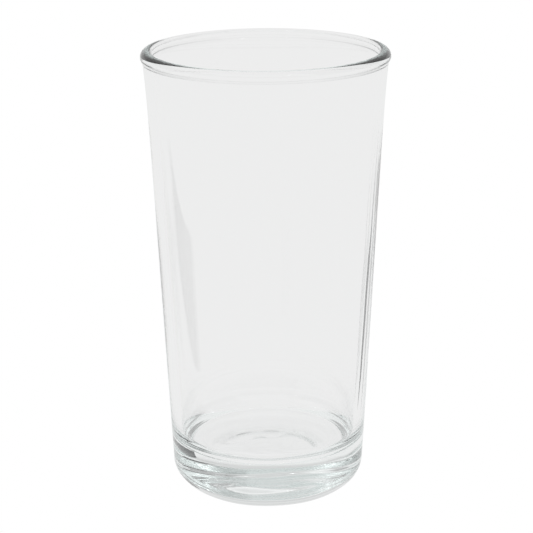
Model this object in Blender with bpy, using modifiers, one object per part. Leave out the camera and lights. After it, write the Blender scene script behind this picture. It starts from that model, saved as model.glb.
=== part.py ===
"""Mixing glass: a tall bar glass, pressed in one piece from clear soda-lime glass.

The glass is one turned solid about the Z axis. Its origin is the centre of the base, on the
plane that the glass stands on, and +Z points out of its mouth. All lengths are in metres.
"""
import math

import bpy

# Driving dimensions
HEIGHT = 0.1500                   # standing plane to the flat top of the rim
RIM_RADIUS = 0.0405               # widest circle, round the rim
RIM_WIDTH = 0.00365               # from the mouth out to the widest circle
RIM_INNER_ROUND = 0.0010          # rounded edge of the rim at the mouth
RIM_OUTER_ROUND = 0.0021          # rounded edge of the rim outside
NECK_RADIUS = 0.0022              # hollow round that blends the rim into the outer wall
FLARE = 0.00085                   # outward flare of the outer wall at the rim
FLARE_LENGTH = 0.0100             # height over which that flare dies away to a third
WALL_RADIUS_AT_BASE = 0.0318      # outer wall's cone, carried down to the standing plane
WALL_TAPER = 0.0507               # growth of the outer wall's radius per unit of height
HEEL_WIDTH = 0.0114               # rounded heel, from the standing ring out to the wall
HEEL_HEIGHT = 0.0092              # rounded heel, from the standing plane up to the wall
STANDING_RING_WIDTH = 0.0025      # flat ring that touches the bar top
HOLLOW_DEPTH = 0.0003             # the underside is hollowed this far at its centre
FLOOR_HEIGHT = 0.0162             # cavity floor above the standing plane
FLOOR_RADIUS = 0.0216             # flat part of the cavity floor
LEDGE_WIDTH = 0.0003              # small pressed step round the flat floor
LEDGE_HEIGHT = 0.0002
FLOOR_CONE = math.radians(5.4)    # rise of the floor outside that step
CORNER_RADIUS = 0.0065            # hollow round between the floor and the inner wall
CAVITY_RADIUS_AT_FLOOR = 0.0291   # inner wall's cone, carried down to the cavity floor

# How finely round shapes are divided
TURN_STEPS = 72
CORNER_STEPS = 8
RIM_INNER_STEPS = 3
RIM_OUTER_STEPS = 6
NECK_STEPS = 3
FLARE_STEPS = 5
HEEL_STEPS = 10
HOLLOW_STEPS = 3

# Clear glass with the faint green of soda-lime
GLASS_COLOUR = (0.86, 0.92, 0.90, 1.0)
GLASS_ROUGHNESS = 0.03
GLASS_IOR = 1.52

MOUTH_RADIUS = RIM_RADIUS - RIM_WIDTH
MOUTH_HEIGHT = HEIGHT - RIM_INNER_ROUND


def clear_scene():
    """Remove whatever objects the file starts with."""
    for old in list(bpy.data.objects):
        bpy.data.objects.remove(old, do_unlink=True)


def outer_wall_radius(height):
    """The outer wall is a cone with a slight flare towards the rim."""
    flare = FLARE * math.exp((height - HEIGHT) / FLARE_LENGTH)
    return WALL_RADIUS_AT_BASE + WALL_TAPER * height + flare


def outer_wall_slope(height):
    flare = FLARE / FLARE_LENGTH * math.exp((height - HEIGHT) / FLARE_LENGTH)
    return WALL_TAPER + flare


def arc(centre, radius, start, end, steps):
    """Points along a circular arc in the profile plane. An angle of 0 points outwards."""
    points = []
    for step in range(steps + 1):
        angle = start + (end - start) * step / steps
        points.append((centre[0] + radius * math.cos(angle),
                       centre[1] + radius * math.sin(angle)))
    return points


def cavity_floor():
    """From the axis out over the flat floor, its step and cone, and up the rounded corner."""
    taper = (MOUTH_RADIUS - CAVITY_RADIUS_AT_FLOOR) / (MOUTH_HEIGHT - FLOOR_HEIGHT)
    lean = math.atan(taper)
    ledge = (FLOOR_RADIUS + LEDGE_WIDTH, FLOOR_HEIGHT + LEDGE_HEIGHT)
    # The corner's centre is one corner radius away from both the cone and the inner wall.
    rise = math.tan(FLOOR_CONE)
    wall_reach = CAVITY_RADIUS_AT_FLOOR - taper * FLOOR_HEIGHT - CORNER_RADIUS / math.cos(lean)
    cone_reach = ledge[1] - rise * ledge[0] + CORNER_RADIUS / math.cos(FLOOR_CONE)
    centre_height = (cone_reach + rise * wall_reach) / (1.0 - rise * taper)
    centre = (wall_reach + taper * centre_height, centre_height)
    corner = arc(centre, CORNER_RADIUS, FLOOR_CONE - math.pi / 2, -lean, CORNER_STEPS)
    return [(0.0, FLOOR_HEIGHT), (FLOOR_RADIUS, FLOOR_HEIGHT), ledge] + corner


def rim():
    """Over the rim from the inner wall, then round the neck below it to the outer wall."""
    inner = (MOUTH_RADIUS + RIM_INNER_ROUND, MOUTH_HEIGHT)
    outer = (RIM_RADIUS - RIM_OUTER_ROUND, HEIGHT - RIM_OUTER_ROUND)
    # The neck's round touches the rim's outer round and the wall, which is taken as straight
    # over so short a stretch.
    neck_height = HEIGHT - 2 * RIM_OUTER_ROUND
    slope = outer_wall_slope(neck_height)
    lean = math.atan(slope)
    wall_here = outer_wall_radius(neck_height) + slope * (outer[1] - neck_height)
    outward = (wall_here - outer[0]) * math.cos(lean) + NECK_RADIUS
    drop = math.sqrt((RIM_OUTER_ROUND + NECK_RADIUS) ** 2 - outward ** 2)
    neck = (outer[0] + outward * math.cos(lean) - drop * math.sin(lean),
            outer[1] - outward * math.sin(lean) - drop * math.cos(lean))
    to_neck = math.atan2(neck[1] - outer[1], neck[0] - outer[0])

    inner_edge = arc(inner, RIM_INNER_ROUND, math.pi, math.pi / 2, RIM_INNER_STEPS)
    outer_edge = arc(outer, RIM_OUTER_ROUND, math.pi / 2, 0.0, RIM_OUTER_STEPS)
    under_edge = arc(outer, RIM_OUTER_ROUND, 0.0, to_neck, NECK_STEPS)
    neck_round = arc(neck, NECK_RADIUS, to_neck + math.pi, math.pi - lean, NECK_STEPS)
    return inner_edge + outer_edge + under_edge[1:] + neck_round[1:]


def flared_wall(top):
    """Down the flared stretch of the outer wall, from just below the neck."""
    points = []
    for step in range(1, FLARE_STEPS + 1):
        height = top - 3 * FLARE_LENGTH * step / FLARE_STEPS
        points.append((outer_wall_radius(height), height))
    return points


def heel():
    """Round the heel, from the foot of the outer wall in to the standing ring."""
    points = []
    for step in range(HEEL_STEPS + 1):
        angle = math.pi / 2 * step / HEEL_STEPS
        height = HEEL_HEIGHT * (1.0 - math.sin(angle))
        inset = HEEL_WIDTH * (1.0 - math.cos(angle))
        points.append((outer_wall_radius(height) - inset, height))
    return points


def underside():
    """In across the flat standing ring, then over the shallow hollow to the axis."""
    hollow_radius = WALL_RADIUS_AT_BASE - HEEL_WIDTH - STANDING_RING_WIDTH
    points = []
    for step in range(HOLLOW_STEPS + 1):
        radius = hollow_radius * (1.0 - step / HOLLOW_STEPS)
        points.append((radius, HOLLOW_DEPTH * (1.0 - (radius / hollow_radius) ** 2)))
    return points


def glass_material():
    material = bpy.data.materials.new("clear_glass")
    material.use_nodes = True
    shader = material.node_tree.nodes["Principled BSDF"]
    shader.inputs["Base Color"].default_value = GLASS_COLOUR
    shader.inputs["Metallic"].default_value = 0.0
    shader.inputs["Roughness"].default_value = GLASS_ROUGHNESS
    shader.inputs["IOR"].default_value = GLASS_IOR
    shader.inputs["Transmission Weight"].default_value = 1.0
    return material


def turned_solid(name, profile, material, collection):
    """Turn a profile of (radius, height) points about the Z axis into a closed solid."""
    mesh = bpy.data.meshes.new(name)
    points = [(radius, 0.0, height) for radius, height in profile]
    edges = [(index, index + 1) for index in range(len(points) - 1)]
    mesh.from_pydata(points, edges, [])
    mesh.materials.append(material)
    solid = bpy.data.objects.new(name, mesh)
    collection.objects.link(solid)
    screw = solid.modifiers.new("turn", "SCREW")
    screw.axis = "Z"
    screw.steps = TURN_STEPS
    screw.render_steps = TURN_STEPS
    screw.use_merge_vertices = True
    screw.merge_threshold = 0.00001
    screw.use_smooth_shade = True
    return solid


def build():
    clear_scene()
    collection = bpy.data.collections.new("mixing_glass")
    bpy.context.scene.collection.children.link(collection)
    over_rim = rim()
    profile = cavity_floor() + over_rim + flared_wall(over_rim[-1][1]) + heel() + underside()
    turned_solid("glass_body", profile, glass_material(), collection)


build()
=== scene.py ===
"""Looks of the mixing glass: one piece of clear pressed glass on a pale studio sweep.

Lengths are in metres, in the frame of the CAD model: Z up, the base's centre at the origin.
"""
import math

import bmesh
import bpy
from mathutils import Matrix, Vector, noise


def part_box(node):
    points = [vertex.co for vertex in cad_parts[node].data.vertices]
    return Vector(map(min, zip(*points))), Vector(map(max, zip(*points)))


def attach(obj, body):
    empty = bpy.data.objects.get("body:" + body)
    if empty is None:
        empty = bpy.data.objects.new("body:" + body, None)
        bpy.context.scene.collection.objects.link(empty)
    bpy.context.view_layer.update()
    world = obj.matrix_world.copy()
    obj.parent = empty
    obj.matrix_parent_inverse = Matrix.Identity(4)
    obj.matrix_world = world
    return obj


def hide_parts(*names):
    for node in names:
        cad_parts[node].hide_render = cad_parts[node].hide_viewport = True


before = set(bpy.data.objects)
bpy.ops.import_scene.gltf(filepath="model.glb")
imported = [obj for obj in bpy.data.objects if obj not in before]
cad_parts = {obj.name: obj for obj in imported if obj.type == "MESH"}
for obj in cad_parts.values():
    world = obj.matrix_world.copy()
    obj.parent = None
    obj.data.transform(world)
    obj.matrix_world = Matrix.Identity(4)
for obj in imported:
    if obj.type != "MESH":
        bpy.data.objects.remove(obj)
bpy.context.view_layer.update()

# Sizes that the CAD model gives
LOWEST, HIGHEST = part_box("glass_body")
HEIGHT = HIGHEST.z
RIM_RADIUS = HIGHEST.x

# The glass, as the CAD model has it
RIM_WIDTH = 0.00365               # from the mouth out to the widest circle
RIM_INNER_ROUND = 0.0010          # rounded edge of the rim at the mouth
RIM_OUTER_ROUND = 0.0021          # rounded edge of the rim outside
NECK_RADIUS = 0.0022              # hollow round that blends the rim into the outer wall
FLARE = 0.00085                   # outward flare of the outer wall at the rim
FLARE_LENGTH = 0.0100             # height over which that flare dies away to a third
WALL_RADIUS_AT_BASE = 0.0318      # outer wall's cone, carried down to the standing plane
WALL_TAPER = 0.0507               # growth of the outer wall's radius per unit of height
HEEL_WIDTH = 0.0114               # rounded heel, from the standing ring out to the wall
HEEL_HEIGHT = 0.0092              # rounded heel, from the standing plane up to the wall
STANDING_RING_WIDTH = 0.0025      # flat ring that touches the bar top
HOLLOW_DEPTH = 0.0003             # the underside is hollowed this far at its centre
FLOOR_HEIGHT = 0.0162             # cavity floor above the standing plane
FLOOR_RADIUS = 0.0216             # flat part of the cavity floor
LEDGE_WIDTH = 0.0003              # small pressed step round the flat floor
LEDGE_HEIGHT = 0.0002
FLOOR_CONE = math.radians(5.4)    # rise of the floor outside that step
CORNER_RADIUS = 0.0065            # hollow round between the floor and the inner wall
CAVITY_RADIUS_AT_FLOOR = 0.0291   # inner wall's cone, carried down to the cavity floor

MOUTH_RADIUS = RIM_RADIUS - RIM_WIDTH
MOUTH_HEIGHT = HEIGHT - RIM_INNER_ROUND
HOLLOW_RADIUS = WALL_RADIUS_AT_BASE - HEEL_WIDTH - STANDING_RING_WIDTH

# How finely it is divided
SEGMENTS = 320
WALL_STEP = 0.0016
FLOOR_STEP = 0.0010
LEDGE_STEPS = 8
CORNER_STEPS = 28
RIM_ROUND_STEPS = 20
NECK_STEPS = 10
HEEL_STEPS = 32

# Unevenness of pressed glass: the depth of its waves, and their length along and up the glass
WALL_WAVE = (0.00005, 0.024, 0.024)
CORNER_WAVE = (0.00009, 0.012, 0.004)
HEEL_WAVE = (0.00022, 0.018, 0.008)
UNDERSIDE_WAVE = (0.00040, 0.011, 0.011)
WAVE_SEED = Vector((3.1, 7.7, 1.3))

GLASS_IOR = 1.52
GLASS_TINT = (0.12, 0.68, 0.60, 1.0)
GLASS_TINT_DENSITY = 0.6
STIPPLE_FACING = -0.8             # faces turned down more than this carry the stipple
LIGHT_BOUNCES = 48                # enough for light to find its way out of the thick base

# The camera
CAMERA_PLACE = Vector((-0.00012, -0.600, 0.25957))
CAMERA_PITCH = math.radians(16.97)
CAMERA_ROLL = math.radians(-0.36)
SENSOR_WIDTH = 36.0
CAMERA_LENS = 126.87


# ---------------------------------------------------------------- profile
def outer_wall_radius(height):
    """The outer wall is a cone with a slight flare towards the rim."""
    return WALL_RADIUS_AT_BASE + WALL_TAPER * height + flare(height)


def flare(height):
    return FLARE * math.exp((height - HEIGHT) / FLARE_LENGTH)


def straight(start, end, step):
    """Points after start, up to end, about a step apart."""
    length = math.hypot(end[0] - start[0], end[1] - start[1])
    count = max(1, round(length / step))
    return [(start[0] + (end[0] - start[0]) * i / count,
             start[1] + (end[1] - start[1]) * i / count) for i in range(1, count + 1)]


def arc(centre, radius, start, end, steps):
    """Points after the start angle, up to the end angle. An angle of 0 points outwards."""
    angles = [start + (end - start) * i / steps for i in range(1, steps + 1)]
    return [(centre[0] + radius * math.cos(a), centre[1] + radius * math.sin(a)) for a in angles]


def cavity():
    """The flat floor, its step and cone, the corner round and the inner wall up to the rim."""
    taper = (MOUTH_RADIUS - CAVITY_RADIUS_AT_FLOOR) / (MOUTH_HEIGHT - FLOOR_HEIGHT)
    lean = math.atan(taper)
    points = [(0.0, FLOOR_HEIGHT)]
    points += straight(points[-1], (FLOOR_RADIUS, FLOOR_HEIGHT), FLOOR_STEP)
    for i in range(1, LEDGE_STEPS + 1):
        share = i / LEDGE_STEPS
        rise = LEDGE_HEIGHT * 0.5 * (1 - math.cos(math.pi * share))
        points.append((FLOOR_RADIUS + LEDGE_WIDTH * share, FLOOR_HEIGHT + rise))
    # The corner's centre is one corner radius from both the cone and the wall.
    ledge = points[-1]
    slope = math.tan(FLOOR_CONE)
    wall_reach = CAVITY_RADIUS_AT_FLOOR - taper * FLOOR_HEIGHT - CORNER_RADIUS / math.cos(lean)
    cone_reach = ledge[1] - slope * ledge[0] + CORNER_RADIUS / math.cos(FLOOR_CONE)
    centre_height = (cone_reach + slope * wall_reach) / (1 - slope * taper)
    centre = (wall_reach + taper * centre_height, centre_height)
    corner_start = (centre[0] + CORNER_RADIUS * math.sin(FLOOR_CONE),
                    centre[1] - CORNER_RADIUS * math.cos(FLOOR_CONE))
    points += straight(ledge, corner_start, FLOOR_STEP / 2)
    points += arc(centre, CORNER_RADIUS, FLOOR_CONE - math.pi / 2, -lean, CORNER_STEPS)
    points += straight(points[-1], (MOUTH_RADIUS, MOUTH_HEIGHT), WALL_STEP)
    return points


def rim():
    """Over the rim from the inner wall, then round the neck below it to the outer wall."""
    inner = (MOUTH_RADIUS + RIM_INNER_ROUND, MOUTH_HEIGHT)
    outer = (RIM_RADIUS - RIM_OUTER_ROUND, HEIGHT - RIM_OUTER_ROUND)
    # The neck's round touches the rim's outer round and the wall, which is taken as straight
    # over so short a stretch.
    neck_height = HEIGHT - 2 * RIM_OUTER_ROUND
    slope = WALL_TAPER + flare(neck_height) / FLARE_LENGTH
    lean = math.atan(slope)
    wall_here = outer_wall_radius(neck_height) + slope * (outer[1] - neck_height)
    outward = (wall_here - outer[0]) * math.cos(lean) + NECK_RADIUS
    drop = math.sqrt((RIM_OUTER_ROUND + NECK_RADIUS) ** 2 - outward ** 2)
    neck = (outer[0] + outward * math.cos(lean) - drop * math.sin(lean),
            outer[1] - outward * math.sin(lean) - drop * math.cos(lean))
    to_neck = math.atan2(neck[1] - outer[1], neck[0] - outer[0])
    points = arc(inner, RIM_INNER_ROUND, math.pi, math.pi / 2, RIM_ROUND_STEPS)
    points += straight(points[-1], (outer[0], HEIGHT), WALL_STEP / 4)
    points += arc(outer, RIM_OUTER_ROUND, math.pi / 2, to_neck, RIM_ROUND_STEPS * 2)
    points += arc(neck, NECK_RADIUS, to_neck + math.pi, math.pi - lean, NECK_STEPS)
    return points


def wall_and_heel(top):
    """Down the outer wall from the neck's end, then round the heel to the standing ring."""
    points = []
    neck_offset = top[0] - outer_wall_radius(top[1])
    count = round((top[1] - HEEL_HEIGHT) / WALL_STEP)
    for i in range(1, count):
        height = top[1] + (HEEL_HEIGHT - top[1]) * i / count
        points.append((outer_wall_radius(height) + neck_offset * (1 - i / count) ** 4, height))
    for i in range(HEEL_STEPS + 1):
        angle = math.pi / 2 * i / HEEL_STEPS
        height = HEEL_HEIGHT * (1 - math.sin(angle))
        points.append((outer_wall_radius(height) - HEEL_WIDTH * (1 - math.cos(angle)), height))
    return points


def underside(ring_edge):
    """In across the flat standing ring, then over the shallow hollow to the axis."""
    points = straight(ring_edge, (HOLLOW_RADIUS, 0.0), FLOOR_STEP / 2)
    for radius, _ in straight((HOLLOW_RADIUS, 0.0), (0.0, 0.0), FLOOR_STEP):
        points.append((radius, HOLLOW_DEPTH * (1 - (radius / HOLLOW_RADIUS) ** 2)))
    return points


# ---------------------------------------------------------------- mesh
def wave(point, size):
    depth, length, rise = size
    return depth * noise.noise(Vector((point.x / length, point.y / length, point.z / rise)) + WAVE_SEED)


def fade(value, start, end):
    """1 at start, falling smoothly to 0 at end."""
    share = min(1.0, max(0.0, (value - start) / (end - start)))
    return 1.0 - share * share * (3 - 2 * share)


def cavity_unevenness(point):
    low = fade(point.z, FLOOR_HEIGHT + 0.002, FLOOR_HEIGHT + 0.012)
    high = fade(point.z, HEIGHT - 0.030, HEIGHT - 0.006)
    return wave(point, WALL_WAVE) * high * (1 - low) + wave(point, CORNER_WAVE) * low


def heel_unevenness(point):
    low = fade(point.z, HEEL_HEIGHT, HEEL_HEIGHT * 2.5)
    lifted = 1 - fade(point.z, 0.0, 0.0015)
    return wave(point, HEEL_WAVE) * low * lifted


def underside_unevenness(point):
    """Always upwards, so that the glass still stands on its ring."""
    inside = fade(point.xy.length, HOLLOW_RADIUS - 0.003, HOLLOW_RADIUS)
    return -abs(wave(point, UNDERSIDE_WAVE)) * inside


def flat(_):
    return 0.0


def outward_normals(points):
    """The profile's normals, which point out of the glass, as (radius, height) pairs."""
    normals = []
    for i in range(len(points)):
        before, after = points[max(0, i - 1)], points[min(len(points) - 1, i + 1)]
        along = Vector((after[0] - before[0], after[1] - before[1])).normalized()
        normals.append((-along.y, along.x))
    return normals


def lathe(name, sections):
    """A closed mesh turned from sections of (points, unevenness). It starts and ends on the axis."""
    profile = [point for points, _ in sections for point in points]
    uneven = [unevenness for points, unevenness in sections for _ in points]
    normals = outward_normals(profile)
    vertices = [(0.0, 0.0, profile[0][1])]
    for i in range(1, len(profile) - 1):
        radius, height = profile[i]
        for j in range(SEGMENTS):
            angle = math.tau * j / SEGMENTS
            outward = Vector((math.cos(angle), math.sin(angle), 0.0))
            point = outward * radius + Vector((0.0, 0.0, height))
            normal = outward * normals[i][0] + Vector((0.0, 0.0, normals[i][1]))
            vertices.append(tuple(point + normal * uneven[i](point)))
    vertices.append((0.0, 0.0, profile[-1][1]))
    last = len(vertices) - 1
    faces = []
    for j in range(SEGMENTS):
        k = (j + 1) % SEGMENTS
        faces.append((0, 1 + j, 1 + k))
        faces.append((last, last - SEGMENTS + k, last - SEGMENTS + j))
    for i in range(len(profile) - 3):
        row = 1 + i * SEGMENTS
        for j in range(SEGMENTS):
            k = (j + 1) % SEGMENTS
            faces.append((row + j, row + SEGMENTS + j, row + SEGMENTS + k, row + k))
    mesh = bpy.data.meshes.new(name)
    mesh.from_pydata(vertices, [], faces)
    mesh.update()
    mesh.shade_smooth()
    piece = bpy.data.objects.new(name, mesh)
    bpy.context.scene.collection.objects.link(piece)
    return piece


# ---------------------------------------------------------------- node helpers
class Nodes:
    """Short calls for building one node tree."""

    def __init__(self, tree):
        self.tree = tree
        tree.nodes.clear()

    def add(self, kind, settings=None, **inputs):
        node = self.tree.nodes.new(kind)
        for key, value in (settings or {}).items():
            setattr(node, key, value)
        for key, value in inputs.items():
            self.put(node.inputs[key.replace("_", " ")], value)
        return node

    def put(self, socket, value):
        if isinstance(value, bpy.types.NodeSocket):
            self.tree.links.new(value, socket)
        else:
            socket.default_value = value

    def math(self, operation, *values):
        node = self.add("ShaderNodeMath", {"operation": operation})
        for socket, value in zip(node.inputs, values):
            self.put(socket, value)
        return node.outputs[0]

    def vector(self, operation, *values):
        node = self.add("ShaderNodeVectorMath", {"operation": operation})
        for socket, value in zip(node.inputs, values):
            self.put(socket, value)
        return node.outputs["Value" if operation in ("LENGTH", "DOT_PRODUCT") else "Vector"]

    def blend(self, base, colour, share):
        """The base colour, with a share of it replaced by another colour."""
        node = self.add("ShaderNodeMix", {"data_type": "RGBA"})
        factor, first, second = (node.inputs[i] for i in (0, 6, 7))
        self.put(factor, share)
        self.put(first, base)
        self.put(second, (*colour, 1.0))
        return node.outputs[2]

    def smooth(self, value, start, end, low=0.0, high=1.0):
        """A smooth step of value, from low at start to high at end."""
        node = self.add("ShaderNodeMapRange", {"interpolation_type": "SMOOTHSTEP"})
        for key, item in (("Value", value), ("From Min", start), ("From Max", end),
                          ("To Min", low), ("To Max", high)):
            self.put(node.inputs[key], item)
        return node.outputs["Result"]


def new_material(name):
    """A material, and the empty node tree to build it in."""
    material = bpy.data.materials.new(name)
    material.use_nodes = True
    return material, Nodes(material.node_tree)


# ---------------------------------------------------------------- glass
def glass_shader(nodes, roughness, normal):
    shader = nodes.add("ShaderNodeBsdfPrincipled")
    shader.inputs["Base Color"].default_value = (1.0, 1.0, 1.0, 1.0)
    shader.inputs["IOR"].default_value = GLASS_IOR
    shader.inputs["Transmission Weight"].default_value = 1.0
    nodes.put(shader.inputs["Roughness"], roughness)
    nodes.put(shader.inputs["Normal"], normal)
    tint = nodes.add("ShaderNodeVolumeAbsorption")
    tint.inputs["Color"].default_value = GLASS_TINT
    tint.inputs["Density"].default_value = GLASS_TINT_DENSITY
    output = nodes.add("ShaderNodeOutputMaterial")
    nodes.put(output.inputs["Surface"], shader.outputs[0])
    nodes.put(output.inputs["Volume"], tint.outputs[0])


def polished_glass():
    """The fire-polished surfaces: nearly smooth, with faint handling haze."""
    material, nodes = new_material("polished_glass")
    place = nodes.add("ShaderNodeTexCoord").outputs["Object"]
    haze = nodes.add("ShaderNodeTexNoise", Vector=place, Scale=60.0, Detail=3.0)
    roughness = nodes.smooth(haze.outputs["Fac"], 0.45, 0.75, 0.0, 0.02)
    ripple = nodes.add("ShaderNodeTexNoise", Vector=place, Scale=140.0, Detail=1.0)
    bump = nodes.add("ShaderNodeBump", Strength=1.0, Distance=0.000004,
                     Height=ripple.outputs["Fac"])
    glass_shader(nodes, roughness, bump.outputs["Normal"])
    return material


def stippled_glass():
    """The underside: a fine stipple from the mould."""
    material, nodes = new_material("stippled_glass")
    place = nodes.add("ShaderNodeTexCoord").outputs["Object"]
    patch = nodes.add("ShaderNodeTexNoise", Vector=place, Scale=220.0, Detail=3.0)
    roughness = nodes.smooth(patch.outputs["Fac"], 0.35, 0.65, 0.02, 0.08)
    grain = nodes.add("ShaderNodeTexNoise", Vector=place, Scale=900.0, Detail=2.0)
    bump = nodes.add("ShaderNodeBump", Strength=1.0, Distance=0.000008,
                     Height=grain.outputs["Fac"])
    glass_shader(nodes, roughness, bump.outputs["Normal"])
    return material


def make_glass():
    over_rim = rim()
    outside = wall_and_heel(over_rim[-1])
    piece = lathe("pressed_glass_body", (
        (cavity(), cavity_unevenness),
        (over_rim, flat),
        (outside, heel_unevenness),
        (underside(outside[-1]), underside_unevenness),
    ))
    piece.data.materials.append(polished_glass())
    piece.data.materials.append(stippled_glass())
    for face in piece.data.polygons:
        if face.normal.z < STIPPLE_FACING and face.center.xy.length < HOLLOW_RADIUS:
            face.material_index = 1
    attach(piece, "root")
    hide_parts("glass_body")


# ---------------------------------------------------------------- studio
# The glass stands on a plain sweep, in a plain room that glows softly. Soft cards stand
# round it, as they do for a studio picture of glassware. A card is (bearing, half width,
# low edge, high edge, brightness). Bearings are in degrees clockwise from behind the glass,
# and the edges are in degrees above the horizon.
SWEEP_RADIUS = 8.0
SWEEP_SEGMENTS = 64
SWEEP_GAP = 0.0003                # keeps the sweep just clear of the standing ring
SWEEP_BRIGHTNESS = 0.85
ROOM_BRIGHTNESS = 0.65
CARD_SOFTNESS = 5.0
ALL_ROUND = 180.0 + CARD_SOFTNESS   # half the width of a card that closes on itself
COVE = (0.0, ALL_ROUND, -90.0, 10.0, SWEEP_BRIGHTNESS)   # the sweep, where it curves up
CEILING_LIGHT = (0.0, ALL_ROUND, 30.0, 60.0, 0.9)
LEFT_FLAG = (270.0, 40.0, 10.0, 40.0, 0.4)
RIGHT_FLAG = (90.0, 40.0, 10.0, 70.0, 0.3)
FRONT_FLAG = (180.0, 40.0, 10.0, 30.0, 0.35)
CARDS = (COVE, CEILING_LIGHT, LEFT_FLAG, RIGHT_FLAG, FRONT_FLAG)

# Two small lamps in front, one each side: (bearing, height, half width), all in degrees
LAMPS = ((150.0, 55.0, 2.0), (210.0, 55.0, 2.0))
LAMP_BRIGHTNESS = 4.0
LAMP_SOFTNESS = 0.3               # its edge fades over this share of its half width, each way

# A dark card stands on the sweep, behind the glass and to its right. It is painted shadow: a dim glow
# put in place of
# # the shadow that the glass casts on the floor there. Given: where its middle is, the bearing that it
# runs along,
# # its length and its height
SHADOW_CARD_PLACE = Vector((0.12, 0.15, 0.0))
SHADOW_CARD_BEARING = math.radians(25.0)
SHADOW_CARD_LENGTH = 0.24
SHADOW_CARD_HEIGHT = 0.06
SHADOW_CARD_BRIGHTNESS = 0.1


def grey(brightness):
    return (brightness, brightness, brightness)


def card_share(nodes, bearing, height, card):
    """How much of a card is seen: 1 inside it, 0 outside."""
    centre, half_width, low, high, _ = card
    soft = CARD_SOFTNESS
    turn = nodes.math("WRAP", nodes.math("SUBTRACT", bearing, centre), 180.0, -180.0)
    side = nodes.smooth(nodes.math("ABSOLUTE", turn), half_width - soft, half_width + soft, 1.0, 0.0)
    rise = nodes.smooth(height, low - soft, low + soft)
    fall = nodes.smooth(height, high - soft, high + soft, 1.0, 0.0)
    return nodes.math("MULTIPLY", nodes.math("MULTIPLY", side, rise), fall)


def lamp_share(nodes, direction, lamp):
    bearing, height, half_width = (math.radians(angle) for angle in lamp)
    towards = (math.sin(bearing) * math.cos(height), math.cos(bearing) * math.cos(height),
               math.sin(height))
    near = nodes.vector("DOT_PRODUCT", direction, towards)
    return nodes.smooth(near, math.cos(half_width * (1 + LAMP_SOFTNESS)),
                        math.cos(half_width * (1 - LAMP_SOFTNESS)))


def white_to_camera(nodes, shader_kind, colour, output_kind):
    """Glow in the colour for light, but plain white where the camera looks at it directly."""
    lit = nodes.add(shader_kind, Color=colour, Strength=1.0)
    seen = nodes.add(shader_kind, Color=(1.0, 1.0, 1.0, 1.0), Strength=1.0)
    camera_ray = nodes.add("ShaderNodeLightPath").outputs["Is Camera Ray"]
    mix = nodes.add("ShaderNodeMixShader")
    for socket, source in zip(mix.inputs, (camera_ray, lit.outputs[0], seen.outputs[0])):
        nodes.put(socket, source)
    output = nodes.add(output_kind)
    nodes.put(output.inputs["Surface"], mix.outputs[0])


def make_room():
    world = bpy.data.worlds.new("studio")
    bpy.context.scene.world = world
    world.use_nodes = True
    nodes = Nodes(world.node_tree)
    direction = nodes.add("ShaderNodeTexCoord").outputs["Generated"]
    parts = nodes.add("ShaderNodeSeparateXYZ", Vector=direction)
    bearing = nodes.math("DEGREES", nodes.math("ARCTAN2", parts.outputs["X"], parts.outputs["Y"]))
    height = nodes.math("DEGREES", nodes.math("ARCSINE", parts.outputs["Z"]))
    colour = (*grey(ROOM_BRIGHTNESS), 1.0)
    for card in CARDS:
        colour = nodes.blend(colour, grey(card[-1]), card_share(nodes, bearing, height, card))
    for lamp in LAMPS:
        colour = nodes.blend(colour, grey(LAMP_BRIGHTNESS), lamp_share(nodes, direction, lamp))
    white_to_camera(nodes, "ShaderNodeBackground", colour, "ShaderNodeOutputWorld")


def sweep_material():
    material, nodes = new_material("pale_sweep")
    colour = (*grey(SWEEP_BRIGHTNESS), 1.0)
    white_to_camera(nodes, "ShaderNodeEmission", colour, "ShaderNodeOutputMaterial")
    return material


def put_on_stage(name, mesh, material):
    mesh.materials.append(material)
    thing = bpy.data.objects.new(name, mesh)
    bpy.context.scene.collection.objects.link(thing)
    return thing


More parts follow.
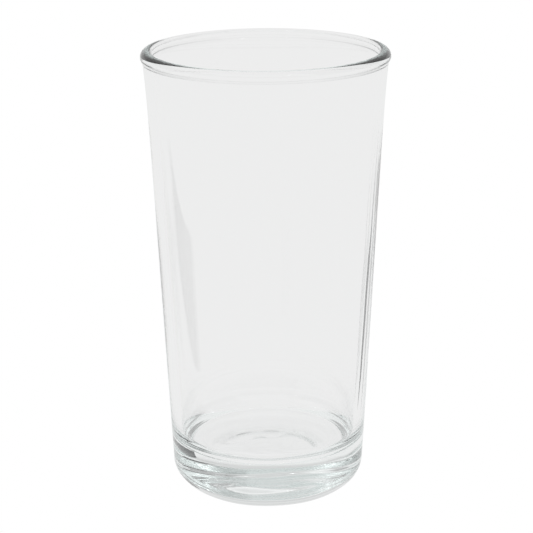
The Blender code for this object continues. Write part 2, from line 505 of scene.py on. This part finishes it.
def make_sweep():
    mesh = bpy.data.meshes.new("sweep")
    bm = bmesh.new()
    bmesh.ops.create_circle(bm, cap_ends=True, radius=SWEEP_RADIUS, segments=SWEEP_SEGMENTS)
    bmesh.ops.translate(bm, verts=bm.verts, vec=(0.0, 0.0, -SWEEP_GAP))
    bm.to_mesh(mesh)
    bm.free()
    put_on_stage("sweep", mesh, sweep_material())


def make_painted_shadow_card():
    """A standing card of painted shadow, in place of the glass's cast shadow on the floor: it is seen
    only through the glass and in its reflections.
    """
    material, nodes = new_material("painted_shadow_card_material")
    # Painted shadow: a dim glow that stands in for the shadow the glass casts on the floor
    card = nodes.add("ShaderNodeEmission", Color=(*grey(SHADOW_CARD_BRIGHTNESS), 1.0), Strength=1.0)
    output = nodes.add("ShaderNodeOutputMaterial")
    nodes.put(output.inputs["Surface"], card.outputs[0])
    along = Vector((math.sin(SHADOW_CARD_BEARING), math.cos(SHADOW_CARD_BEARING), 0.0)) * SHADOW_CARD_LENGTH / 2
    up = Vector((0.0, 0.0, SHADOW_CARD_HEIGHT))
    corners = [SHADOW_CARD_PLACE + offset for offset in (-along, along, along + up, -along + up)]
    mesh = bpy.data.meshes.new("painted_shadow_card")
    mesh.from_pydata([tuple(corner) for corner in corners], [], [(0, 1, 2, 3)])
    put_on_stage("painted_shadow_card", mesh, material).visible_camera = False


def make_camera():
    data = bpy.data.cameras.new("camera")
    data.sensor_width = SENSOR_WIDTH
    data.lens = CAMERA_LENS
    data.clip_start = 0.01
    data.clip_end = 100.0
    camera = bpy.data.objects.new("camera", data)
    bpy.context.scene.collection.objects.link(camera)
    tilt = Matrix.Rotation(math.pi / 2 - CAMERA_PITCH, 4, "X")
    roll = Matrix.Rotation(CAMERA_ROLL, 4, "Z")
    camera.matrix_world = Matrix.Translation(CAMERA_PLACE) @ tilt @ roll
    bpy.context.scene.camera = camera


def set_light_paths():
    scene = bpy.context.scene
    scene.view_settings.view_transform = "Standard"
    scene.cycles.max_bounces = LIGHT_BOUNCES
    scene.cycles.transmission_bounces = LIGHT_BOUNCES
    scene.cycles.glossy_bounces = LIGHT_BOUNCES


make_glass()
make_room()
make_sweep()
# The card of painted shadow, behind the glass and to its right
make_painted_shadow_card()
make_camera()
set_light_paths()
